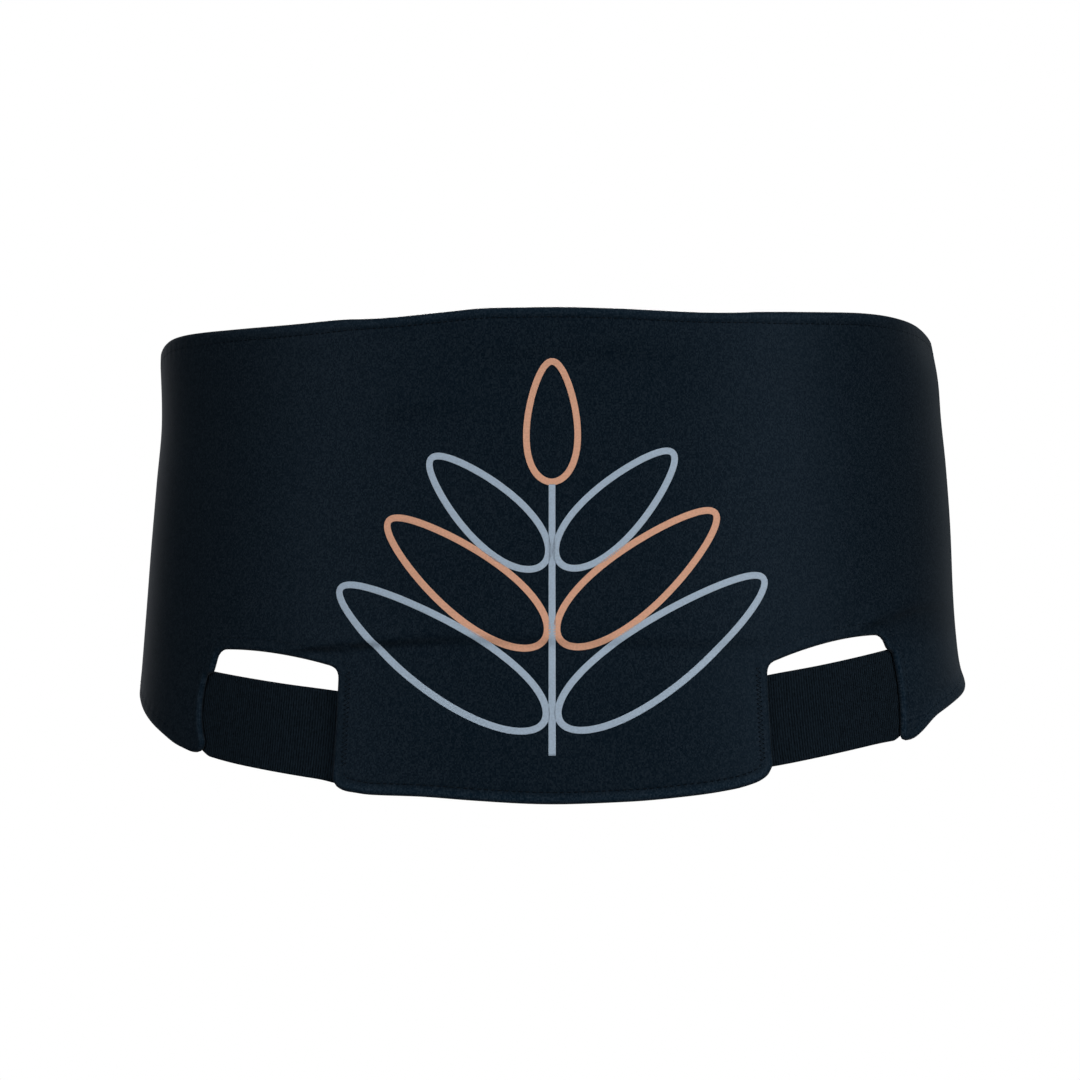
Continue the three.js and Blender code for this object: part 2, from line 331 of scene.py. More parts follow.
# The angles run past half a turn, because the front ends overlap.
HALF_TURN_STEPS = 720
ANGLE_STEPS = 900
ANGLES = np.arange(ANGLE_STEPS + 1) * math.pi / HALF_TURN_STEPS
oval_x, oval_y = oval_point(ANGLES, 0.0)
WALKED = np.concatenate([[0], np.cumsum(np.hypot(np.diff(oval_x), np.diff(oval_y)))])
HALF_LOOP = WALKED[HALF_TURN_STEPS]
END_ARC = HALF_LOOP + FRONT_OVERLAP / 2


def face_point(arc, height):
    """A point on the outer face of the worn cloth, in millimetres."""
    angle = np.sign(arc) * np.interp(np.abs(arc), WALKED, ANGLES)
    x, y = oval_point(angle, height)
    fold = read_table(PATTERN, "arc", "fold", np.abs(arc))
    fade = 1 - ease(np.abs(arc), *VALLEY_FADE)
    push = -VALLEY_DEPTH * fade * np.exp(-(((height - fold) / VALLEY_REACH) ** 2))
    lift = WORN_TILT * oval_point(angle, 0.0)[0]
    for dent in DRAPE:
        along = (arc - dent.arc) / dent.arc_reach
        up = (height - dent.height) / dent.height_reach
        share = np.exp(-along * along - up * up)
        push = push + dent.push * share
        lift = lift + dent.lift * share
    grow = 1 + push / np.hypot(x, y)
    return np.column_stack([x * grow, y * grow, height + lift])


def worn_point(arc, height, out):
    """The place in the room, in metres, of flat cloth that stands out from the face by a distance."""
    along = face_point(arc + NORMAL_STEP, height) - face_point(arc - NORMAL_STEP, height)
    up = face_point(arc, height + NORMAL_STEP) - face_point(arc, height - NORMAL_STEP)
    normal = np.cross(along, up)
    normal /= np.linalg.norm(normal, axis=1)[:, None]
    return (face_point(arc, height) + normal * out[:, None]) * MM


def lap_shift(arc):
    """The right front end rides outside the hook patch, and the left end inside it."""
    start, end = (HALF_LOOP - before for before in LAP_RUN)
    return np.sign(arc) * LAP * ease(np.abs(arc), start, end)


print("half loop and end of the cloth, mm:", round(HALF_LOOP, 1), round(END_ARC, 1))

# %% [markdown]
# ## Cutting the cloth
# The outline of the cut is one closed loop: along the bottom edge, up and round each notch, round both ends
# and back along the top. The tail narrows a little towards the bottom. Where a wing is sewn over an elastic
# band, its edge steps back a little and runs down in a shallow curve. A grid of squares could be trimmed to
# the loop, but then the hem would follow the squares. Walking along it instead gives evenly spaced points
# that the hem, the stitches and the edge can all follow.

# %% Outline of the cut
Notch = namedtuple("Notch", "side inner outer inner_top outer_top seam_top back bulge tip tip_round")
NOTCHES = [
    Notch(-1, 90.4, 151.6, -53.0, -44.7, -55.8, 5.4, 10.0, 2.5, 5.0),
    Notch(1, 91.2, 151.0, -55.2, -45.0, -52.8, 4.7, 8.2, 4.0, 2.6),
]
NOTCH_ROUND = 5.2
TAIL_LEAN = 1.3
NOTCH_RISE = 1.2
NOTCH_FLARE = 1.8
SHOULDER_FLARE = 0.6
SEAM_STEP = 1
SEAM_LEAD = -72
OUTLINE_STEP = 1.7
BEND_POINTS = 14
END_POINTS = 16
TOP_POINTS = 1000


def edge_heights(arc):
    half = np.abs(arc)
    short = np.maximum(0, END_ROUND - (END_ARC - half))
    trim = END_ROUND - np.sqrt(np.maximum(0, END_ROUND**2 - short**2))
    bottom = read_table(PATTERN, "arc", "bottom", half) + trim
    top = read_table(PATTERN, "arc", "top", half) - trim
    return bottom, top


def bend(start, corner, end):
    """A round corner: a curve from start to end that leans towards the corner."""
    t = np.linspace(0, 1, BEND_POINTS)[:, None]
    return (1 - t) ** 2 * np.array(start) + 2 * t * (1 - t) * np.array(corner) + t**2 * np.array(end)


def bottom_at(arc):
    return float(edge_heights(np.array([arc]))[0][0])


def notch_edge(notch):
    """The edge of the cloth from the tail's corner, round the notch, to the wing's bottom edge."""
    tail_low = notch.inner - TAIL_LEAN
    tail_high = (notch.inner, notch.inner_top - NOTCH_ROUND)
    arch_start = (notch.inner + NOTCH_ROUND, notch.inner_top + NOTCH_RISE)
    arch_end = (notch.outer - NOTCH_ROUND, notch.outer_top)
    arch_lead = ((notch.inner + notch.outer) / 2, notch.outer_top)
    shoulder = (notch.outer + SHOULDER_FLARE, notch.outer_top - NOTCH_ROUND)
    seam_start = (notch.outer + notch.back, notch.seam_top)
    seam_lead = (notch.outer + notch.bulge, SEAM_LEAD)
    tip_arc = notch.outer + notch.tip
    tip_height = bottom_at(tip_arc)
    tip_start = (tip_arc, tip_height + notch.tip_round)
    tip_end = (tip_arc + notch.tip_round, bottom_at(tip_arc + notch.tip_round))
    edge = np.vstack([
        [(tail_low, bottom_at(tail_low))],
        bend(tail_high, (notch.inner, notch.inner_top), arch_start),
        bend(arch_start, arch_lead, arch_end)[1:],
        bend(arch_end, (notch.outer, notch.outer_top), shoulder)[1:],
        [(notch.outer + NOTCH_FLARE, notch.seam_top + SEAM_STEP)],
        bend(seam_start, seam_lead, tip_start),
        bend(tip_start, (tip_arc, tip_height), tip_end)[1:],
    ])
    return edge * (notch.side, 1)


def bottom_run(start, end):
    arc = np.linspace(start, end, max(2, int(abs(end - start))))
    return np.column_stack([arc, edge_heights(arc)[0]])


def even_loop(loop, step):
    """The same closed loop with its points evenly spaced."""
    closed = np.vstack([loop, loop[:1]])
    walked = np.concatenate([[0], np.cumsum(np.linalg.norm(np.diff(closed, axis=0), axis=1))])
    count = int(round(walked[-1] / step))
    at = np.arange(count) * walked[-1] / count
    return np.column_stack([np.interp(at, walked, closed[:, 0]), np.interp(at, walked, closed[:, 1])])


def cut_outline():
    left, right = [notch_edge(notch) for notch in NOTCHES]
    end_turn = END_ARC - END_ROUND * (1 - np.sin(np.linspace(0, math.pi / 2, END_POINTS)))
    end_low = np.column_stack([end_turn, edge_heights(end_turn)[0]])
    end_high = np.column_stack([end_turn, edge_heights(end_turn)[1]])[::-1]
    top_arc = np.linspace(END_ARC - END_ROUND, END_ROUND - END_ARC, TOP_POINTS)
    top_run = np.column_stack([top_arc, edge_heights(top_arc)[1]])
    loop = np.vstack([
        bottom_run(END_ROUND - END_ARC, left[-1, 0])[:-1],
        left[::-1],
        bottom_run(left[0, 0], right[0, 0])[1:-1],
        right,
        bottom_run(right[-1, 0], END_ARC - END_ROUND)[1:],
        end_low[1:],
        end_high[:-1],
        top_run,
        (end_high * (-1, 1))[::-1][1:],
        (end_low * (-1, 1))[::-1][1:-1],
    ])
    return even_loop(loop, OUTLINE_STEP)


outline = cut_outline()
outline_length = len(outline) * OUTLINE_STEP
print("outline points:", len(outline), "and length, mm:", round(outline_length))

# %% [markdown]
# ## Laying points on the cloth
# The hem is a narrow roll with a sewn groove beside it, only a few millimetres across, and a few creases
# are as narrow, while the rest of the cloth is nearly smooth. An even grid fine enough for them would be
# enormous. So loops of points follow the edge closely, rows of points follow each crease, a wide triangular
# grid fills the middle, and Blender's own Delaunay function joins them all into one flat net.

# %% Flat net of triangles
HEM_INSETS = [0, 0.25, 0.7, 1.3, 2.1, 2.8, 3.3, 3.7, 4.1, 4.5, 5.0, 5.4, 5.8, 6.3, 7.0, 8.0, 9.8]
GRID_STEP = 3.4
NEAREST_GAP = 0.05
CREASE_STEP = 2.2
CREASE_ROWS = np.array([-3.2, -2.2, -1.4, -0.7, 0, 0.7, 1.4, 2.2, 3.2])
CREASE_CLEAR = 1.5
MERGE_WITHIN = 1e-4
# Blender's number for keeping only the triangles inside the outline.
KEEP_INSIDE = 1

Crease = namedtuple("Crease", "arc height reach depth")
CREASES = {
    "above_tail": [
        Crease(-118, -46.4, 1.1, 0),
        Crease(-104, -45.2, 1.1, 1.6),
        Crease(-90, -44.4, 1.2, 2.5),
        Crease(-74, -43.3, 1.4, 2.7),
        Crease(-56, -42.4, 1.7, 2.6),
        Crease(-40, -42.2, 2.0, 2.3),
        Crease(-14, -43.3, 2.1, 2.3),
        Crease(20, -44.4, 2.1, 1.8),
        Crease(80, -46.6, 2.2, 1.0),
        Crease(104, -46.5, 2.2, 0),
    ],
    "right_wing": [
        Crease(132, -42.6, 1.6, 0),
        Crease(149, -39.4, 1.6, 2.0),
        Crease(161, -36.9, 2.0, 2.6),
        Crease(177, -34.6, 2.4, 2.2),
        Crease(202, -34.0, 2.2, 1.2),
        Crease(226, -34.0, 2.4, 0),
    ],
    "upper_left": [
        Crease(-86, 56.0, 3.4, 0),
        Crease(-67, 55.0, 3.4, 1.2),
        Crease(-48, 56.5, 4.0, 0.7),
        Crease(-22, 58.0, 4.4, 0),
    ],
    "below_top": [
        Crease(-54, 81.5, 4.0, 0),
        Crease(-20, 80.5, 4.2, 1.1),
        Crease(34, 80.5, 4.2, 1.1),
        Crease(70, 81.5, 4.0, 0),
    ],
}


def inward_of(loop):
    """Unit steps from the edge into the cloth, which lies to the left of the loop's way round."""
    along = np.roll(loop, -1, axis=0) - np.roll(loop, 1, axis=0)
    along /= np.linalg.norm(along, axis=1)[:, None]
    return np.column_stack([-along[:, 1], along[:, 0]])


def tree_of(points):
    tree = KDTree(len(points))
    for index, (arc, height) in enumerate(points):
        tree.insert((arc, height, 0), index)
    tree.balance()
    return tree


def nearest_in(tree, points):
    """How far each flat point is from the tree's nearest one, and which one that is."""
    found = [tree.find((arc, height, 0)) for arc, height in points]
    return np.array([hit[2] for hit in found]), np.array([hit[1] for hit in found])


edge_tree = tree_of(outline)


def from_edge(points):
    return nearest_in(edge_tree, points)


def inside(points, loop):
    """True for each point that lies within the loop."""
    within = np.zeros(len(points), bool)
    for (x0, y0), (x1, y1) in zip(loop, np.roll(loop, -1, axis=0)):
        crosses = (y0 > points[:, 1]) != (y1 > points[:, 1])
        rise = np.where(y1 == y0, 1, y1 - y0)
        within ^= crosses & (points[:, 0] < x0 + (points[:, 1] - y0) / rise * (x1 - x0))
    return within


def crease_points():
    """Rows of points along every crease, closer together than the grid."""
    rows = []
    for crease in CREASES.values():
        arc = np.arange(crease[0].arc, crease[-1].arc, CREASE_STEP)
        line = read_table(crease, "arc", "height", arc)
        reach = read_table(crease, "arc", "reach", arc)
        rows += [np.column_stack([arc, line + share * reach]) for share in CREASE_ROWS]
    return np.vstack(rows)


def clear_of_hem(points):
    """The points that lie inside the hem's innermost loop, with their distance from the edge."""
    within = points[inside(points, outline)]
    gap, close = from_edge(within)
    clear = gap > HEM_INSETS[-1] + GRID_STEP / 2
    return within[clear], gap[clear], close[clear]


def lay_points():
    inward = inward_of(outline)
    flat, inset, nearest = [], [], []
    for step in HEM_INSETS:
        moved = outline + inward * step
        gap = from_edge(moved)[0]
        kept = np.flatnonzero(gap > step - NEAREST_GAP)
        flat.append(moved[kept])
        inset.append(np.full(len(kept), step))
        nearest.append(kept)
    rows = np.arange(outline[:, 1].min(), outline[:, 1].max(), GRID_STEP * math.sqrt(3) / 2)
    columns = np.arange(-END_ARC, END_ARC, GRID_STEP)
    grid = [(arc + (row % 2) * GRID_STEP / 2, height) for row, height in enumerate(rows) for arc in columns]
    grid = np.array(grid)
    creased = crease_points()
    grid = grid[nearest_in(tree_of(creased), grid)[0] > CREASE_CLEAR]
    for points in (creased, grid):
        kept, gap, close = clear_of_hem(points)
        flat.append(kept)
        inset.append(gap)
        nearest.append(close)
    return np.vstack(flat), np.concatenate(inset), np.concatenate(nearest)


def join_points(flat):
    """Triangles over the flat points, none outside the outline."""
    count = len(outline)
    rim = [(index, (index + 1) % count) for index in range(count)]
    found = delaunay_2d_cdt([Vector(point) for point in flat], rim, [], KEEP_INSIDE, MERGE_WITHIN)
    source = [origin[0] for origin in found[3]]
    faces = np.array([[source[corner] for corner in face] for face in found[2]])
    a, b, c = flat[faces[:, 0]], flat[faces[:, 1]], flat[faces[:, 2]]
    turned = (b[:, 0] - a[:, 0]) * (c[:, 1] - a[:, 1]) - (b[:, 1] - a[:, 1]) * (c[:, 0] - a[:, 0])
    faces[turned < 0] = faces[turned < 0][:, ::-1]
    return faces, float(np.abs(turned).sum() / 2)


flat_points, flat_inset, flat_nearest = lay_points()
flat_faces, cut_area = join_points(flat_points)
print("flat points:", len(flat_points), "triangles:", len(flat_faces), "cut area, mm2:", round(cut_area))

# %% [markdown]
# ## Hem, groove and soft folds
# The edge is turned under and sewn, so it is round at the rim, a little puffed, and pulled down into a
# groove under the stitches. The seam pulls hardest along the middle of the top, under the tail and at the
# front, and least round the notches and the top corners. At the notches the rim leans back a little onto
# the elastic. Cloth worn tight also has a few creases, where it hangs over its own lower part, and slow
# swells. Bump in a material would fake these, but it would leave the outline and the exported mesh flat.
# Here each one moves the cloth in or out by a millimetre and a half at most, and the numbers stay together
# so that they can be compared.

# %% Relief of the cloth
HEM_PUFF = 0.14
PUFF_RISE = (0.6, 2.2)
PUFF_FALL = 0.6
GROOVE_DEPTH = 0.13
GROOVE_REACH = 0.75
GROOVE_BEHIND = 0.6
PUCKER_DEPTH = 0.06
PUCKER_LENGTH = 6.5
PUCKER_RISE = (1.0, 4.0)
PUCKER_FALL = (6.5, 9.8)
PUCKER_DRIFT = 1.3
PUCKER_DRIFT_RATE = 0.045
CREASE_SPREAD = 5
SWELL_DEPTH = 0.16
SWELLS = 7
SWELL_SEED = 7
SWELL_LOW = (-0.05, -0.06, 0)
SWELL_HIGH = (0.05, 0.06, 2 * math.pi)
FRONT_FROM = 285
TOP_ABOVE = 40
TOP_MIDDLE = 92
TOP_SIDE = 160
TAIL_BELOW = -95
TAIL_TO = NOTCHES[0].inner - 2
WING_FROM = NOTCHES[0].outer + 2
WING_TO = 166
NOTCH_TO = NOTCHES[0].outer + 6

Seam = namedtuple("Seam", "inset pull lean rub rub_reach")
# The rub columns make the cloth by the edge paler: partly rubbed and partly a painted highlight on the
# turned edge, and on the right bottom also painted light over the lower wing.
SEAMS = {
    "top": Seam(4.4, 1.0, 0, 0.4, 4.4),
    "top_side": Seam(5.3, 0.9, 0, 0.35, 4.4),
    "top_corner": Seam(5.6, 0.12, 0, 0.12, 4.4),
    "front": Seam(4.8, 0.9, 0, 0.35, 4.8),
    "tail": Seam(5.0, 1.0, 0, 0.65, 5.0),
    "notch": Seam(5.2, 0.1, 0.3, 0.6, 1.8),
    "wing": Seam(3.6, 0.15, 0.3, 0.2, 1.2),
    "left_bottom": Seam(5.0, 0.1, 0, 0.3, 3.0),
    "right_bottom": Seam(5.0, 0.1, 0, 0.3, 12.0),
}


def seam_at(point):
    """Which seam follows the edge at a point of the outline."""
    half, height = abs(point[0]), point[1]
    if half > FRONT_FROM:
        return SEAMS["front"]
    if height > TOP_ABOVE and half < TOP_MIDDLE:
        return SEAMS["top"]
    if height > TOP_ABOVE:
        return SEAMS["top_side" if half < TOP_SIDE else "top_corner"]
    if half < TAIL_TO and height < TAIL_BELOW:
        return SEAMS["tail"]
    if WING_FROM < half < WING_TO and height < NOTCHES[1].seam_top:
        return SEAMS["wing"]
    if half < NOTCH_TO:
        return SEAMS["notch"]
    return SEAMS["right_bottom" if point[0] > 0 else "left_bottom"]


def eased_round(values, reach=6):
    """The mean of each value and its neighbours on both sides, round the closed loop."""
    return sum(np.roll(values, step) for step in range(-reach, reach + 1)) / (2 * reach + 1)


seam_columns = np.array([seam_at(point) for point in outline], float).T
seam_inset, seam_pull, seam_lean, seam_rub_and_painted_light, seam_rub_and_light_reach = [eased_round(column) for column in seam_columns]
swell_dice = np.random.default_rng(SWELL_SEED)
swell_waves = swell_dice.uniform(SWELL_LOW, SWELL_HIGH, (SWELLS, 3))


def fold_relief(arc, height):
    """Creases and slow swells: how far the whole wall moves out."""
    out = np.zeros(len(arc))
    for crease in CREASES.values():
        line = read_table(crease, "arc", "height", arc)
        off_line = (height - line) / read_table(crease, "arc", "reach", arc)
        fade = np.exp(-((off_line / CREASE_SPREAD) ** 2))
        out += read_table(crease, "arc", "depth", arc) / 2 * np.tanh(off_line) * fade
    for along, up, phase in swell_waves:
        out += SWELL_DEPTH / SWELLS * 2 * np.sin(arc * along + height * up + phase)
    return out


def groove_relief(inset, nearest):
    """How deep the stitches pull the cloth in."""
    off_seam = (inset - seam_inset[nearest]) / GROOVE_REACH
    return GROOVE_DEPTH * seam_pull[nearest] * np.exp(-off_seam * off_seam)


def hem_relief(inset, nearest):
    """The puffed hem, the sewn groove and its small puckers, on the outer face."""
    seam = seam_inset[nearest]
    rise = ease(inset, *PUFF_RISE)
    puff = HEM_PUFF * seam_pull[nearest] * rise * (1 - ease(inset, PUFF_FALL * seam, seam))
    drift = PUCKER_DRIFT * np.sin(nearest * PUCKER_DRIFT_RATE)
    wave = np.sin(nearest * OUTLINE_STEP / PUCKER_LENGTH * 2 * math.pi + drift)
    pucker = PUCKER_DEPTH * wave * ease(inset, *PUCKER_RISE) * (1 - ease(inset, *PUCKER_FALL))
    return puff - groove_relief(inset, nearest) + pucker


def wall_faces(arc, height, inset, nearest):
    """How far out the outer and the inner face of the wall lie."""
    half = WALL / 2
    rim = half - np.minimum(inset, half)
    thick = np.sqrt(half**2 - rim**2)
    lean = seam_lean[nearest] * (rim / half) ** 2
    face = lap_shift(arc) + fold_relief(arc, height)
    outer = face - half - lean + thick + hem_relief(inset, nearest)
    inner = face - np.minimum(half + lean + thick, WALL) + GROOVE_BEHIND * groove_relief(inset, nearest)
    return outer, inner


print("creases:", len(CREASES), "and seam insets, mm:", seam_inset.min().round(1), seam_inset.max().round(1))

# %% [markdown]
# ## Softshell
# Softshell is a tight stretch weave bonded to a brushed back. From a step away it looks like one dark navy,
# and close up it is a fine speckle of lighter and darker yarn with a dry, faintly bluish gloss. A single
# colour would look like painted plastic. So every small crossing of yarns gets its own random tone, softer
# noises mix in, crossed waves raise the weave, and a little sheen catches light along the outline. The hem
# is paler, partly because its turned edge is stretched and rubbed, and partly as a painted highlight where
# the edge catches the light. The colour also carries painted light on the lower right wing and painted
# shade along the seam's groove. All of them read the flat place of the cloth, so that the weave bends with
# the belt.

# %% Finish of the softshell
NAVY_DARK = (0.0012, 0.0056, 0.0112, 1)
NAVY_MIDDLE = (0.0046, 0.0104, 0.0174, 1)
NAVY_LIGHT = (0.0108, 0.0184, 0.0272, 1)
YARN_PITCH = 0.00055
YARN_CROSSING = (0.0005, 0.00065)
SPECKLE = 0.0014
SPECKLE_SHARE = 0.4
CLOUD = 0.045
CLOUD_SHARE = 0.1
WEAVE_HEIGHT = 0.00002
# A wave texture whose scale is 1 repeats after this distance.
WAVE_PITCH = 0.314
PILE = 0.0016
PILE_HEIGHT = 0.0003
PILE_DARK = (0.011, 0.014, 0.019, 1)
PILE_LIGHT = (0.034, 0.040, 0.050, 1)


def start_finish(name, **values):
    """A material with one main shader, whose plain values are set by name."""
    finish = bpy.data.materials.new(name)
    finish.use_nodes = True
    shader = finish.node_tree.nodes["Principled BSDF"]
    for socket, value in values.items():
        shader.inputs[socket.replace("_", " ")].default_value = value
    return finish, finish.node_tree, shader


def colour_steps(tree, *steps):
    """A colour ramp from pairs of place and colour."""
    ramp = tree.nodes.new("ShaderNodeValToRGB")
    ramp.color_ramp.elements[0].position, ramp.color_ramp.elements[0].color = steps[0]
    ramp.color_ramp.elements[1].position, ramp.color_ramp.elements[1].color = steps[-1]
    for place, colour in steps[1:-1]:
        ramp.color_ramp.elements.new(place).color = colour
    return ramp


def tone_by(tree, shader, value, *steps):
    """Colour the surface by a value, through a colour ramp."""
    ramp = colour_steps(tree, *steps)
    tree.links.new(value, ramp.inputs["Fac"])
    tree.links.new(ramp.outputs["Color"], shader.inputs["Base Color"])


def raise_by(tree, shader, value, height, **values):
    """Raise the surface by a value, up to a small height."""
    bump = node_after(tree, "ShaderNodeBump", Distance=height, **values)
    tree.links.new(value, bump.inputs["Height"])
    tree.links.new(bump.outputs[0], shader.inputs["Normal"])


def flat_place_of(tree):
    """The place of each point on the flat cloth, which the mesh remembers."""
    return node_after(tree, "ShaderNodeAttribute", attribute_name="flat_place").outputs["Vector"]


def woven_bump(tree, shader, place, pitch, height):
    """Threads that cross over and under: two waves at right angles, multiplied."""
    crossed = node_after(tree, "ShaderNodeMath", operation="MULTIPLY")
    for number, way in enumerate("XY"):
        wave = node_after(tree, "ShaderNodeTexWave", bands_direction=way, Distortion=0.6)
        wave.inputs["Scale"].default_value = WAVE_PITCH / pitch
        tree.links.new(place, wave.inputs["Vector"])
        tree.links.new(wave.outputs["Fac"], crossed.inputs[number])
    raise_by(tree, shader, crossed.outputs[0], height, Strength=1.0)


def mixed_values(tree, first, second, share):
    """A value that is mostly the first, with a share of the second."""
    mix = node_after(tree, "ShaderNodeMix", data_type="FLOAT")
    mix.inputs["Factor"].default_value = share
    tree.links.new(first, mix.inputs["A"])
    tree.links.new(second, mix.inputs["B"])
    return mix.outputs["Result"]


def noise_value(tree, place, size, **values):
    noise = node_after(tree, "ShaderNodeTexNoise", Scale=1 / size, **values)
    tree.links.new(place, noise.inputs["Vector"])
    return noise.outputs["Fac"]


def crossing_value(tree, place, crossing):
    """One random value for each small crossing of yarns."""
    block = node_after(tree, "ShaderNodeVectorMath", operation="SNAP")
    block.inputs[1].default_value = (*crossing, 1)
    dice = node_after(tree, "ShaderNodeTexWhiteNoise")
    tree.links.new(place, block.inputs[0])
    tree.links.new(block.outputs["Vector"], dice.inputs["Vector"])
    return dice.outputs["Value"]


def softshell_finish():
    finish, tree, shader = start_finish(
        "softshell_navy",
        Roughness=0.4,
        Specular_IOR_Level=0.046,
        Specular_Tint=(0.45, 0.7, 1, 1),
        Sheen_Weight=0.08,
        Sheen_Roughness=0.5,
        Sheen_Tint=(0.86, 0.94, 1, 1),
    )
    place = flat_place_of(tree)
    crossings = crossing_value(tree, place, YARN_CROSSING)
    speckle = noise_value(tree, place, SPECKLE, Detail=2.0, Roughness=0.65)
    cloud = noise_value(tree, place, CLOUD, Detail=2.0)
    yarn = mixed_values(tree, crossings, speckle, SPECKLE_SHARE)
    clouded = mixed_values(tree, yarn, cloud, CLOUD_SHARE)
    # This stored share paints light and shade into the colour: the paler hem with its painted highlight,
    # painted light on the lower right wing and painted shade along the seam.
    hem = node_after(tree, "ShaderNodeAttribute", attribute_name="hem_rub_and_painted_light").outputs["Fac"]
    paler = node_after(tree, "ShaderNodeMath", operation="ADD")
    paler.inputs[1].default_value = 1
    rubbed = node_after(tree, "ShaderNodeVectorMath", operation="SCALE")
    navy = colour_steps(tree, (0.23, NAVY_DARK), (0.5, NAVY_MIDDLE), (0.77, NAVY_LIGHT))
    tree.links.new(clouded, navy.inputs["Fac"])
    tree.links.new(hem, paler.inputs[0])
    tree.links.new(navy.outputs["Color"], rubbed.inputs[0])
    tree.links.new(paler.outputs[0], rubbed.inputs["Scale"])
    tree.links.new(rubbed.outputs["Vector"], shader.inputs["Base Color"])
    woven_bump(tree, shader, place, YARN_PITCH, WEAVE_HEIGHT)
    return finish


def brushed_back_finish():
    finish, tree, shader = start_finish(
        "brushed_back",
        Roughness=0.95,
        Specular_IOR_Level=0.1,
        Sheen_Weight=0.25,
        Sheen_Roughness=0.6,
        Sheen_Tint=(0.8, 0.88, 1, 1),
    )
    pile = noise_value(tree, flat_place_of(tree), PILE, Detail=4.0, Roughness=0.7)
    tone_by(tree, shader, pile, (0.3, PILE_DARK), (0.7, PILE_LIGHT))
    raise_by(tree, shader, pile, PILE_HEIGHT, Strength=0.8)
    return finish


softshell = softshell_finish()
brushed_back = brushed_back_finish()
print("cloth finishes:", softshell.name, brushed_back.name)

# %% [markdown]
# ## The belt body
# The flat net becomes a wall with two faces that share their points along the rim, so the mesh is closed
# like the real hem. Each point remembers its flat place, which the weave reads, and the light and shade
# painted into its colour: paler on the hem, from rubbing and a painted highlight on the turned edge, paler
# on the lower right wing as painted light, and darker along the seam's groove as painted shade. The brushed
# back shows only inside the hem.

# %% Belt body
TURNED_HEM = 6.2
HEM_FADE = 0.4
# SEAM_SHADE is a painted shade along the seam's groove.
SEAM_SHADE = 0.06
SEAM_SHADE_REACH = 1.0
# Painted light makes the lower right wing paler, where the light falls on it.
WING_PAINTED_LIGHT = 0.42
WING_INNER_FADE = (146, 160)
WING_OUTER_FADE = (215, 245)
WING_TOP_FADE = (-56, -38)


def make_piece(name, points, faces, finishes, flat_place=None, face_finish=None):
    """A smooth mesh piece from arrays of points and faces."""
    mesh = bpy.data.meshes.new(name)
    mesh.from_pydata(points, [], faces)
    for finish in finishes:
        mesh.materials.append(finish)
    if flat_place is not None:
        stored = mesh.attributes.new("flat_place", "FLOAT_VECTOR", "POINT")
        stored.data.foreach_set("vector", np.asarray(flat_place, np.float32).ravel())
    if face_finish is not None:
        mesh.polygons.foreach_set("material_index", np.asarray(face_finish, np.int32))
    mesh.shade_smooth()
    mesh.update()
    piece = bpy.data.objects.new(name, mesh)
    scene.collection.objects.link(piece)
    return piece


def store_rub_and_painted_light(piece, arc, height):
    """Remember, on both faces, the hem made paler by rubbing and a painted highlight, the painted light on
    the lower right wing and the painted shade along the seam.
    """
    off_seam = (flat_inset - seam_inset[flat_nearest]) / SEAM_SHADE_REACH
    shade = SEAM_SHADE * seam_pull[flat_nearest] * np.exp(-off_seam * off_seam)
    reach = seam_rub_and_light_reach[flat_nearest]
    hem = seam_rub_and_painted_light[flat_nearest] * (1 - ease(flat_inset, HEM_FADE * reach, reach))
    on_wing = ease(arc, *WING_INNER_FADE) * (1 - ease(arc, *WING_OUTER_FADE))
    rub_and_painted_light = hem - shade + WING_PAINTED_LIGHT * on_wing * (1 - ease(height, *WING_TOP_FADE))
    stored = piece.data.attributes.new("hem_rub_and_painted_light", "FLOAT", "POINT")
    stored.data.foreach_set("value", np.concatenate([rub_and_painted_light, rub_and_painted_light[len(outline):]]).astype(np.float32))


def make_belt_body():
    arc, height = flat_points.T
    outer, inner = wall_faces(arc, height, flat_inset, flat_nearest)
    outer_points = worn_point(arc, height, outer)
    inner_points = worn_point(arc, height, inner)
    count = len(arc)
    rim = len(outline)
    behind = np.arange(count) + count - rim
    behind[:rim] = np.arange(rim)
    points = np.vstack([outer_points, inner_points[rim:]])
    faces = np.vstack([flat_faces, behind[flat_faces][:, ::-1]])
    place = np.column_stack([arc, height, np.zeros(count)]) * MM
    both_places = np.vstack([place, place[rim:]])
    brushed = flat_inset[flat_faces].min(axis=1) > TURNED_HEM
    face_finish = np.concatenate([np.zeros(len(flat_faces)), brushed])
    finishes = [softshell, brushed_back]
    piece = make_piece("softshell_belt", points, faces, finishes, both_places, face_finish)
    store_rub_and_painted_light(piece, arc, height)
    return piece


belt_body = make_belt_body()
print("belt body triangles:", len(belt_body.data.polygons))

# %% [markdown]
# ## Elastic bands
# Each band is flat woven elastic with fine upright ribs, tucked behind the tail and the wing, where it
# narrows a little. It is darker and duller than the softshell. Ribs could be a striped material, but the
# toothed outline and most of their soft shading come from the shape, so every rib is a real ridge. Each
# point also remembers how high it stands on its rib, so that the finish can paint shade down in the valleys
# and paler tops on the ribs, and small flecks break up the tone.

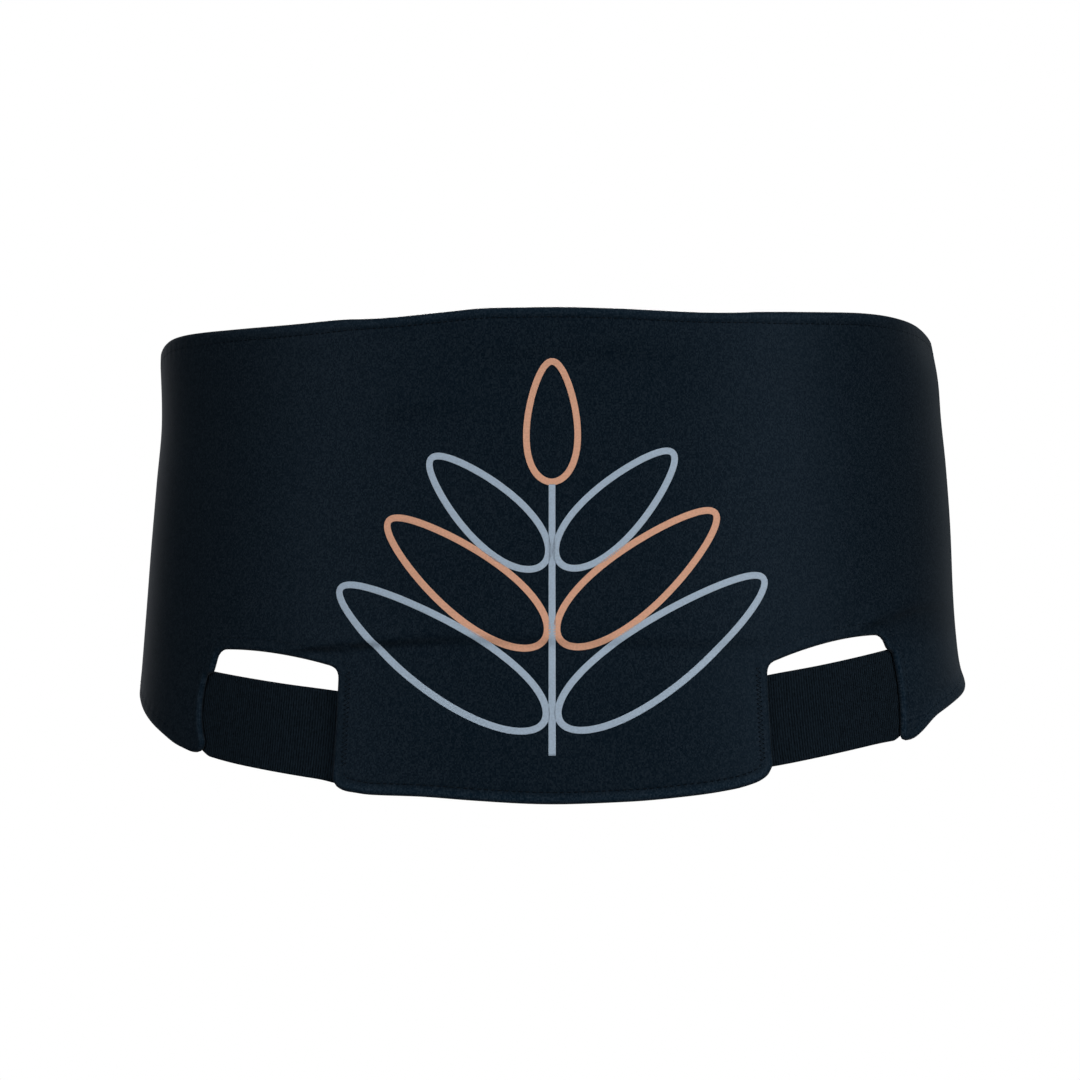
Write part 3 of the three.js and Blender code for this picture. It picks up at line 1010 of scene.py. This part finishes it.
# %% Elastic bands
Band = namedtuple("Band", "name node side inner outer inner_top outer_top narrowing")
BANDS = [
    Band("ribbed_elastic_left", "elastic_left", -1, 83, 163, -63.9, -53.2, 1.4),
    Band("ribbed_elastic_right", "elastic_right", 1, 83, 163, -61.6, -50.3, -0.4),
]
ELASTIC_TALL = 38.7
ELASTIC_TUCK = 2.6
TUCK_RUN = (0.86, 0.97)
ELASTIC_FLECK = (0.00035, 0.0009)
ELASTIC_YARN = 0.0008
ELASTIC_YARN_SHARE = 0.45
ELASTIC_PITCH = 0.0007
ELASTIC_HEIGHT = 0.00006
ELASTIC_DARK = (0.0002, 0.0012, 0.0024, 1)
ELASTIC_LIGHT = (0.0112, 0.0206, 0.0310, 1)
RIB_PITCH = 1.15
RIB_DEPTH = 0.2
RIB_SHADE_SHARE = 0.42
RIB_SAMPLES = 6
SELVEDGE_ROUND = 0.02
SELVEDGE_ROWS = np.array([0, 0.006, 0.018, 0.035, 0.06, 0.1, 0.2, 0.3, 0.4])
ELASTIC_ROWS = np.concatenate([SELVEDGE_ROWS, [0.5], 1 - SELVEDGE_ROWS[::-1]])


def elastic_finish():
    finish, tree, shader = start_finish(
        "ribbed_elastic",
        Roughness=0.75,
        Specular_IOR_Level=0.03,
        Sheen_Weight=0.03,
        Sheen_Roughness=0.5,
    )
    place = flat_place_of(tree)
    flecks = crossing_value(tree, place, ELASTIC_FLECK)
    yarn = noise_value(tree, place, ELASTIC_YARN, Detail=2.0, Roughness=0.6)
    parts = node_after(tree, "ShaderNodeSeparateXYZ")
    # The rib's height paints shade into the valleys and paler tops onto the ribs.
    rib_shade = node_after(tree, "ShaderNodeMapRange", From_Max=RIB_DEPTH * MM)
    tree.links.new(place, parts.inputs[0])
    tree.links.new(parts.outputs["Z"], rib_shade.inputs["Value"])
    woven = mixed_values(tree, flecks, yarn, ELASTIC_YARN_SHARE)
    rib_shaded = mixed_values(tree, woven, rib_shade.outputs["Result"], RIB_SHADE_SHARE)
    tone_by(tree, shader, rib_shaded, (0.17, ELASTIC_DARK), (0.85, ELASTIC_LIGHT))
    woven_bump(tree, shader, place, ELASTIC_PITCH, ELASTIC_HEIGHT)
    return finish


def grid_faces(columns, rows):
    """Quads of a grid whose points run row by row within each column."""
    column, row = np.meshgrid(np.arange(columns - 1), np.arange(rows - 1), indexing="ij")
    corner = (column * rows + row).ravel()
    return np.column_stack([corner, corner + rows, corner + rows + 1, corner + 1])


def rim_of_grid(columns, rows):
    """The points round the edge of a grid, in the order of its faces."""
    low = np.arange(columns) * rows
    far = (columns - 1) * rows + np.arange(rows)
    high = np.arange(columns)[::-1] * rows + rows - 1
    near = np.arange(rows)[::-1]
    return np.concatenate([low[:-1], far[:-1], high[:-1], near[:-1]])


def make_slab(name, finish, grid, place, outer, inner, mirrored=False):
    """A closed piece: a grid of points for each face, and a strip of faces round the edge."""
    arc, height = place[:2]
    count = len(arc)
    front = grid_faces(*grid)
    rim = rim_of_grid(*grid)
    if mirrored:
        front = front[:, ::-1]
        rim = rim[::-1]
    after = np.roll(rim, -1)
    sides = np.column_stack([rim, rim + count, after + count, after])
    points = np.vstack([worn_point(arc, height, outer), worn_point(arc, height, inner)])
    faces = np.vstack([front, front[:, ::-1] + count, sides])
    flat_place = np.column_stack(place) * MM
    return make_piece(name, points, faces, [finish], np.vstack([flat_place, flat_place]))


def make_band(band, finish):
    columns = int(round((band.outer - band.inner) / RIB_PITCH)) * RIB_SAMPLES + 1
    share, level = np.meshgrid(np.linspace(0, 1, columns), ELASTIC_ROWS, indexing="ij")
    share, level = share.ravel(), level.ravel()
    arc = band.side * (band.inner + (band.outer - band.inner) * share)
    top = band.inner_top + (band.outer_top - band.inner_top) * share
    tall = ELASTIC_TALL - band.narrowing * share - ELASTIC_TUCK * ease(share, *TUCK_RUN)
    height = top - tall * (1 - level)
    across = (band.outer - band.inner) * share / RIB_PITCH
    rib = RIB_DEPTH * (0.5 - 0.5 * np.cos(2 * math.pi * across))
    from_selvedge = np.minimum(np.minimum(level, 1 - level) / SELVEDGE_ROUND, 1)
    selvedge = np.sqrt(np.clip(1 - (1 - from_selvedge) ** 2, 0, 1))
    half = (ELASTIC_THICK / 2 - RIB_DEPTH + rib) * selvedge
    middle = fold_relief(arc, height) - WALL - SEWN_GAP - ELASTIC_THICK / 2
    grid = (columns, len(ELASTIC_ROWS))
    place = (arc, height, rib)
    return make_slab(band.name, finish, grid, place, middle + half, middle - half, band.side < 0)


elastic = elastic_finish()
bands = [make_band(band, elastic) for band in BANDS]
print("elastic triangles:", [2 * len(piece.data.polygons) for piece in bands])

# %% [markdown]
# ## Hook patch
# The front ends close with a patch of hook tape between them. Nothing of it shows in the photograph, so it
# is one plain pad with a rounded rim and a stubbly finish, painted darker in the hollows between the stubs
# as shade.

# %% Hook patch
PATCH_LENGTH = 66
PATCH_BOTTOM = -22
PATCH_TOP = 55
PATCH_TALL = PATCH_TOP - PATCH_BOTTOM
PATCH_GRID = (45, 53)
PATCH_RIM = 0.45
PATCH_ROUND = 2.0
HOOK_PITCH = 0.0017
HOOK_HEIGHT = 0.0005
HOOK_LIGHT = (0.012, 0.013, 0.015, 1)
HOOK_HOLLOW_SHADE = (0.003, 0.0033, 0.004, 1)


def hook_finish():
    finish, tree, shader = start_finish("hook_tape", Roughness=0.6, Specular_IOR_Level=0.3)
    stubs = node_after(tree, "ShaderNodeTexVoronoi", Scale=1 / HOOK_PITCH)
    tree.links.new(flat_place_of(tree), stubs.inputs["Vector"])
    # The colour follows the stubs' height: painted shade in the hollows between them.
    tone_by(tree, shader, stubs.outputs["Distance"], (0.1, HOOK_LIGHT), (0.6, HOOK_HOLLOW_SHADE))
    raise_by(tree, shader, stubs.outputs["Distance"], HOOK_HEIGHT, Strength=1.0, invert=True)
    return finish


def make_hook_patch():
    along, up = np.meshgrid(*[np.linspace(-1, 1, count) for count in PATCH_GRID], indexing="ij")
    along, up = along.ravel(), up.ravel()
    arc = HALF_LOOP + along * PATCH_LENGTH / 2
    height = (PATCH_BOTTOM + PATCH_TOP) / 2 + up * PATCH_TALL / 2
    inset = np.minimum((1 - np.abs(along)) * PATCH_LENGTH, (1 - np.abs(up)) * PATCH_TALL) / 2
    thick = PATCH_THICK / 2 * (PATCH_RIM + (1 - PATCH_RIM) * ease(inset, 0, PATCH_ROUND))
    middle = fold_relief(arc, height) - WALL / 2
    place = (arc, height, np.zeros(len(arc)))
    return make_slab("hook_tape_patch", hook_finish(), PATCH_GRID, place, middle + thick, middle - thick)


hook_patch = make_hook_patch()
print("hook patch triangles:", 2 * len(hook_patch.data.polygons))

# %% [markdown]
# ## Topstitching
# A row of straight stitches runs in the hem's groove all the way round, thinner where the seam pulls less.
# Down the sides of the tail it turns into a zigzag, because the elastic is caught there and has to stretch.
# There each stitch starts with a dark dot, a painted shade of the needle hole where the thread dives into
# the cloth, and is pale after it. Stitches could be dashes in a material, but real ones are small bent
# threads that dip into the cloth at both ends. One joined mesh holds them all.

# %% Stitches
STITCH_PITCH = 2.7
STITCH_LENGTH = 2.15
THREAD_RADIUS = 0.21
SLIM_THREAD = 0.4
ZIG_PITCH = 1.0
ZIG_INSETS = (3.7, 6.0)
ZIG_LOWEST = -97
ZIG_BELOW = 2
THREAD_RINGS = np.array([0, 0.26, 0.74, 1.0])
THREAD_SWELL = np.array([0.55, 1.0, 1.0, 0.55])
THREAD_SINK = np.array([-0.25, 0.14, 0.14, -0.25])
ZIG_SWELL = np.array([1.1, 1.2, 0.7, 0.7])
ZIG_SINK = np.array([-0.08, 0.12, 0.08, -0.2])
THREAD_SIDES = 6
THREAD_TWIST = 0.0006
THREAD_DARK = (0.0012, 0.0030, 0.0055, 1)
THREAD_LIGHT = (0.0030, 0.0065, 0.0110, 1)


def thread_finish(name, dark, light):
    finish, tree, shader = start_finish(name, Roughness=0.5, Specular_IOR_Level=0.05)
    place = node_after(tree, "ShaderNodeTexCoord").outputs["Object"]
    twist = noise_value(tree, place, THREAD_TWIST, Detail=2.0)
    tone_by(tree, shader, twist, (0.3, dark), (0.7, light))
    return finish


def by_tail_side(points):
    """True along the upright sides of the tail, where the stitch is a zigzag."""
    beside = np.zeros(len(points), bool)
    for notch in NOTCHES:
        close = np.abs(points[:, 0] * notch.side - notch.inner + TAIL_LEAN / 2) < TAIL_LEAN
        beside |= close & (points[:, 1] < notch.inner_top - ZIG_BELOW) & (points[:, 1] > ZIG_LOWEST)
    return beside


def stitch_ends():
    """Start and end of every stitch on the flat cloth."""
    inward = inward_of(outline)
    seam = outline + inward * seam_inset[:, None]
    gap = from_edge(seam)[0]
    kept = np.flatnonzero(gap > seam_inset - NEAREST_GAP)
    zigzag = by_tail_side(outline)
    line = even_loop(seam[kept], STITCH_PITCH)
    ahead = np.roll(line, -1, axis=0) - line
    ends = line + ahead * STITCH_LENGTH / STITCH_PITCH
    straight = ~zigzag[from_edge(line)[1]]
    starts, stops = [line[straight]], [ends[straight]]
    runs = np.split(np.flatnonzero(zigzag), np.flatnonzero(np.diff(np.flatnonzero(zigzag)) > 1) + 1)
    for run in runs:
        count = int(len(run) * OUTLINE_STEP / ZIG_PITCH)
        at = np.linspace(run[0], run[-1], count)
        inset = np.where(np.arange(count) % 2, *ZIG_INSETS)
        edge = np.column_stack([np.interp(at, run, outline[run, k]) for k in range(2)])
        turn = np.column_stack([np.interp(at, run, inward[run, k]) for k in range(2)])
        dots = edge + turn * inset[:, None]
        starts.append(dots[:-1])
        stops.append(dots[1:])
    return np.vstack(starts), np.vstack(stops)


def behind_elastic(arc, height):
    """True where an elastic band lies behind the wall, so that the thread comes out on the band."""
    covered = np.zeros(len(arc), bool)
    for band in BANDS:
        share = (arc * band.side - band.inner) / (band.outer - band.inner)
        top = band.inner_top + (band.outer_top - band.inner_top) * share
        covered |= (share > 0) & (share < 1) & (height < top) & (height > top - ELASTIC_TALL + ELASTIC_TUCK)
    return covered


def make_stitches(finishes):
    start, stop = stitch_ends()
    ahead = stop - start
    across = np.column_stack([-ahead[:, 1], ahead[:, 0]]) / np.linalg.norm(ahead, axis=1)[:, None]
    turn = np.arange(THREAD_SIDES) * 2 * math.pi / THREAD_SIDES
    rings = len(THREAD_RINGS)
    shape = (len(start), rings, THREAD_SIDES)
    close = from_edge(start)[1]
    zigzag = by_tail_side(outline)[close]
    weight = np.where(zigzag, 1, SLIM_THREAD + (1 - SLIM_THREAD) * seam_pull[close])
    thickness = np.where(zigzag[:, None], ZIG_SWELL, THREAD_SWELL)
    sink = np.where(zigzag[:, None], ZIG_SINK, THREAD_SINK)
    swell = THREAD_RADIUS * weight[:, None, None] * thickness[:, :, None]
    flat = start[:, None, None, :] + ahead[:, None, None, :] * THREAD_RINGS[None, :, None, None]
    flat = flat + across[:, None, None, :] * (swell * np.cos(turn)[None, None, :])[..., None]
    rise = sink[:, :, None] - THREAD_RADIUS * (1 - weight[:, None, None])
    rise = np.broadcast_to(rise + swell * np.sin(turn)[None, None, :], shape).ravel()
    flat = np.broadcast_to(flat, (*shape, 2)).reshape(-1, 2)
    arc, height = flat.T
    inset, nearest = from_edge(flat)
    outer, inner = wall_faces(arc, height, inset, nearest)
    covered = behind_elastic(arc, height)
    inner = np.where(covered, fold_relief(arc, height) - WALL - SEWN_GAP - ELASTIC_THICK, inner)
    points = np.vstack([worn_point(arc, height, outer + rise), worn_point(arc, height, inner - rise)])
    faces, caps = thread_faces(len(start), rings)
    back = len(arc)
    quads = faces.tolist() + (faces[:, ::-1] + back).tolist()
    ends = caps.tolist() + (caps[:, ::-1] + back).tolist()
    stitch, segment = np.divmod(np.arange(len(faces)) // THREAD_SIDES, rings - 1)
    # The dark first part of each zigzag stitch is a painted shade of its needle hole.
    clear_of_hole_shade = np.tile(zigzag[stitch] & (segment > 0), 2)
    face_finish = np.concatenate([clear_of_hole_shade, np.zeros(len(ends))])
    return make_piece("topstitching", points, quads + ends, finishes, face_finish=face_finish)


def thread_faces(stitches, rings):
    """Side quads and end caps of every thread, each a short closed tube."""
    stitch = np.arange(stitches)[:, None, None] * rings * THREAD_SIDES
    ring = np.arange(rings - 1)[None, :, None] * THREAD_SIDES
    side = np.arange(THREAD_SIDES)[None, None, :]
    after = (side + 1) % THREAD_SIDES
    low = stitch + ring
    high = low + THREAD_SIDES
    quads = np.stack([low + side, high + side, high + after, low + after], axis=-1)
    first = np.arange(stitches)[:, None] * rings * THREAD_SIDES + np.arange(THREAD_SIDES)[None, :]
    last = (first + (rings - 1) * THREAD_SIDES)[:, ::-1]
    return quads.reshape(-1, 4), np.vstack([first, last])


# The dark thread is the thread's own colour, and on the zigzag it also paints the shade of the needle holes.
dark_thread_and_hole_shade = thread_finish("navy_thread_and_hole_shade", THREAD_DARK, THREAD_LIGHT)
pale_thread = thread_finish("pale_thread", NAVY_MIDDLE, NAVY_LIGHT)
stitches = make_stitches([dark_thread_and_hole_shade, pale_thread])
print("stitch mesh faces:", len(stitches.data.polygons))

# %% [markdown]
# ## Printed line design
# The middle of the back carries a large line print in grey-blue and copper ink. Here it is a plain leaf
# sprig, drawn with lines of about three millimetres. Ink could be part of the cloth's colour, but rubbery
# ink stands proud of the weave by a tenth of a millimetre. So each line is a thin ribbon laid along a curve
# on the flat pattern and bent round with it.

# %% Leaf sprig
LINE_WIDTH = 3.0
INK_RISE = 0.15
INK_ROOT = -0.25
LINE_STEP = 1.0
INK_ACROSS = np.array([-0.5, -0.48, -0.42, -0.2, 0, 0.2, 0.42, 0.48, 0.5])
INK_GRAIN = 0.0009
INK_WEAVE = 0.00003
THIN_INK = 0.88
GREY_BLUE = (0.447, 0.563, 0.695)
COPPER = (0.854, 0.450, 0.296)
STEM_FROM = -92
STEM_TO = 24
BESIDE_STEM = 3.5
LEAF_SLIM = 0.25
LEAF_POINTS = 240

Leaf = namedtuple("Leaf", "base length lean width ink")
LEAVES = [
    Leaf(-78, 106, 56, 29, "grey"),
    Leaf(-43, 86, 52, 27, "copper"),
    Leaf(-10, 68, 47, 24, "grey"),
    Leaf(25, 52, 0, 22, "copper"),
]


def ink_finish(name, colour):
    finish, tree, shader = start_finish(name, Roughness=0.55, Specular_IOR_Level=0.3)
    place = flat_place_of(tree)
    grain = noise_value(tree, place, INK_GRAIN, Detail=2.0)
    thin = tuple(THIN_INK * part for part in colour) + (1,)
    tone_by(tree, shader, grain, (0.35, thin), (0.65, (*colour, 1)))
    woven_bump(tree, shader, place, YARN_PITCH, INK_WEAVE)
    return finish


def leaf_line(leaf, side):
    """A closed leaf outline: round at the base and slimmer at the tip."""
    turn = np.linspace(0, 2 * math.pi, LEAF_POINTS, endpoint=False)
    along = leaf.length * (1 - np.cos(turn)) / 2
    across = leaf.width / 2 * np.sin(turn) * (1 + LEAF_SLIM * np.cos(turn))
    lean = math.radians(leaf.lean)
    arc = along * math.sin(lean) + across * math.cos(lean)
    height = leaf.base + along * math.cos(lean) - across * math.sin(lean)
    root = BESIDE_STEM if leaf.lean else 0
    return even_loop(np.column_stack([side * (arc + root), height]), LINE_STEP)


def ribbon(line, closed):
    """Flat place, rise and faces of an ink line: a low flat-topped mound along a curve."""
    columns = INK_ACROSS * LINE_WIDTH
    rises = np.full(len(columns), INK_RISE)
    rises[[0, -1]] = INK_ROOT
    count, wide = len(line), len(columns)
    ahead = np.roll(line, -1, axis=0) - np.roll(line, 1, axis=0)
    if not closed:
        ahead[0] = line[1] - line[0]
        ahead[-1] = line[-1] - line[-2]
    ahead /= np.linalg.norm(ahead, axis=1)[:, None]
    across = np.column_stack([ahead[:, 1], -ahead[:, 0]])
    flat = line[:, None, :] + across[:, None, :] * columns[None, :, None]
    step = np.arange(count if closed else count - 1)[:, None] * wide
    onward = (step + wide) % (count * wide)
    column = np.arange(wide)[None, :]
    beside = (column + 1) % wide
    faces = np.stack([step + column, step + beside, onward + beside, onward + column], axis=-1)
    ends = [] if closed else [list(range(wide))[::-1], list(range((count - 1) * wide, count * wide))]
    return flat.reshape(-1, 2), np.tile(rises, count), faces.reshape(-1, 4).tolist() + ends


def print_lines(ink):
    lines = []
    for leaf in LEAVES:
        if leaf.ink == ink:
            sides = (-1, 1) if leaf.lean else (1,)
            lines += [(leaf_line(leaf, side), True) for side in sides]
    if ink == "grey":
        height = np.arange(STEM_FROM, STEM_TO + LINE_STEP, LINE_STEP)
        lines.append((np.column_stack([np.zeros_like(height), height]), False))
    return lines


def make_print(name, ink, finish):
    flats, rises, faces = [], [], []
    start = 0
    for line, closed in print_lines(ink):
        flat, rise, sides = ribbon(line, closed)
        flats.append(flat)
        rises.append(rise)
        faces += [[corner + start for corner in face] for face in sides]
        start += len(flat)
    arc, height = np.vstack(flats).T
    out = fold_relief(arc, height) + np.concatenate(rises)
    place = np.column_stack([arc, height, np.zeros(len(arc))]) * MM
    return make_piece(name, worn_point(arc, height, out), faces, [finish], place)


grey_print = make_print("print_grey_blue", "grey", ink_finish("ink_grey_blue", GREY_BLUE))
copper_print = make_print("print_copper", "copper", ink_finish("ink_copper", COPPER))
print("print faces:", len(grey_print.data.polygons), len(copper_print.data.polygons))

# %% [markdown]
# ## Hanging the pieces on the body
# Every piece rides on the belt's one body. The belt, the bands and the patch take the places of their
# imported solids, which are hidden, and the stitches and the print lie on the belt.

# %% Bodies and hidden solids
pieces = [belt_body, *bands, hook_patch, stitches, grey_print, copper_print]
for piece in pieces:
    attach(piece, "root")
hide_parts("belt_body")
for band, piece in zip(BANDS, bands):
    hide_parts(band.node)
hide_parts("hook_patch")
